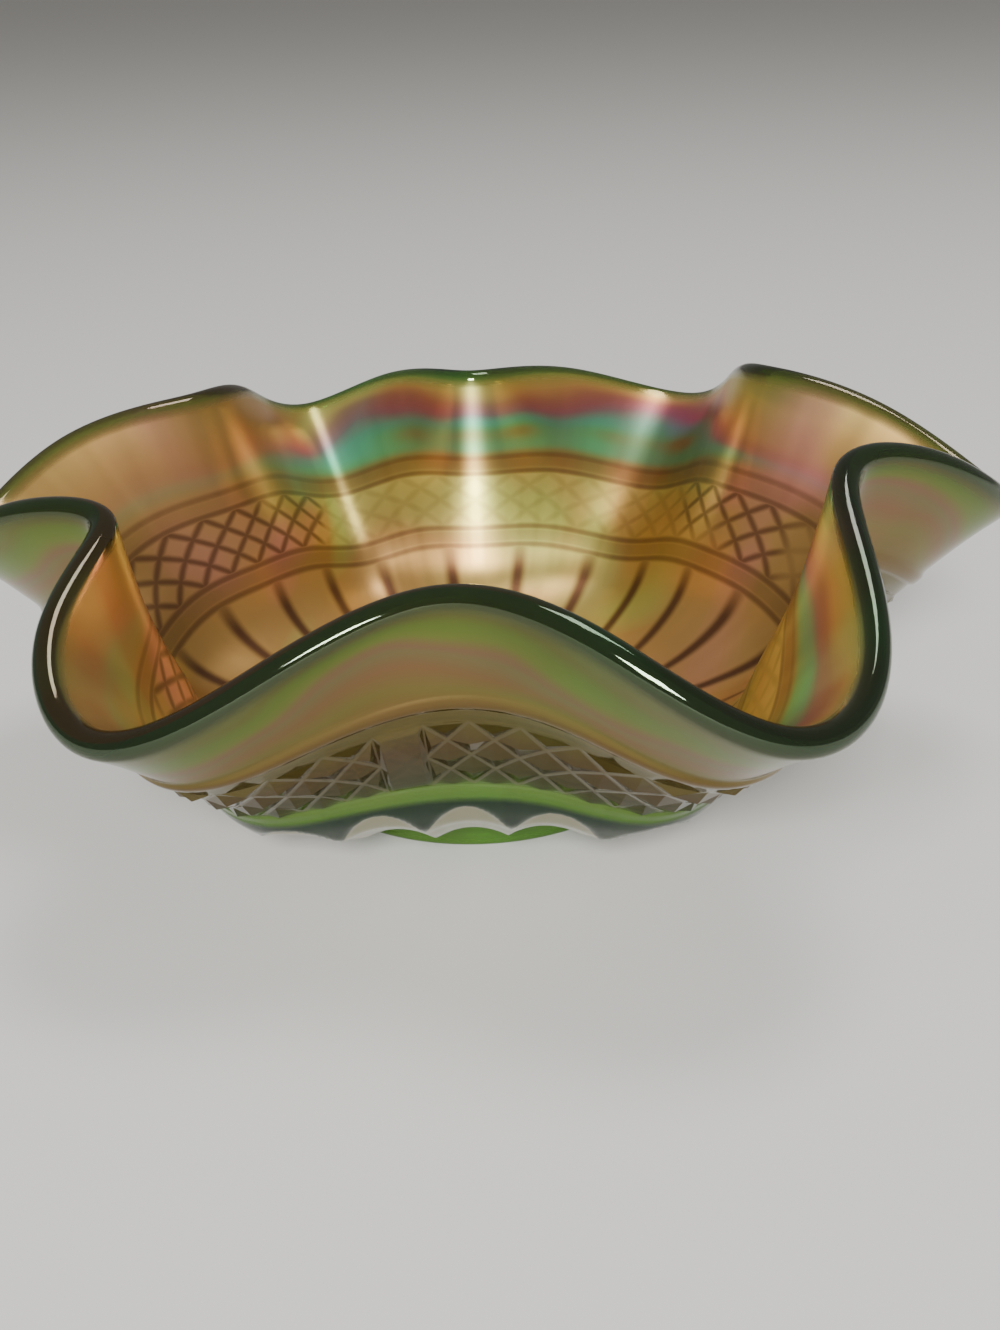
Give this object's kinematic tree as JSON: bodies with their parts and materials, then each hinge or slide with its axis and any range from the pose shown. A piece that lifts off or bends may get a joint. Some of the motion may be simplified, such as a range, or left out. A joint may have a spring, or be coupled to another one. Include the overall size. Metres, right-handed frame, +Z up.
{
  "type": "ruffled carnival glass bowl",
  "caption": "Round pressed-glass bowl with a collar foot, fluted underside, scalloped moulding, diamond lattice band and crimped, ruffled rim.",
  "frame": {"origin": "centre of the collar foot's underside, where the bowl rests", "axes": "+Z up out of the bowl's mouth, -Y towards the ruffle that faces the viewer"},
  "size_m": [0.2211, 0.2019, 0.0776],
  "materials": {
    "green_glass": "bare fire-polished dark green glass",
    "iridised_glass": "green glass with a fired-on gold, rose and teal iridescent film"
  },
  "bodies": {
    "root": {"collar_foot": "green_glass", "well_floor": "iridised_glass", "fluted_wall": "iridised_glass", "scalloped_ring": "iridised_glass", "diamond_band": "iridised_glass", "bead_ring": "iridised_glass", "plain_flange": "iridised_glass", "rim_lip": "green_glass"}
  },
  "joints": []
}
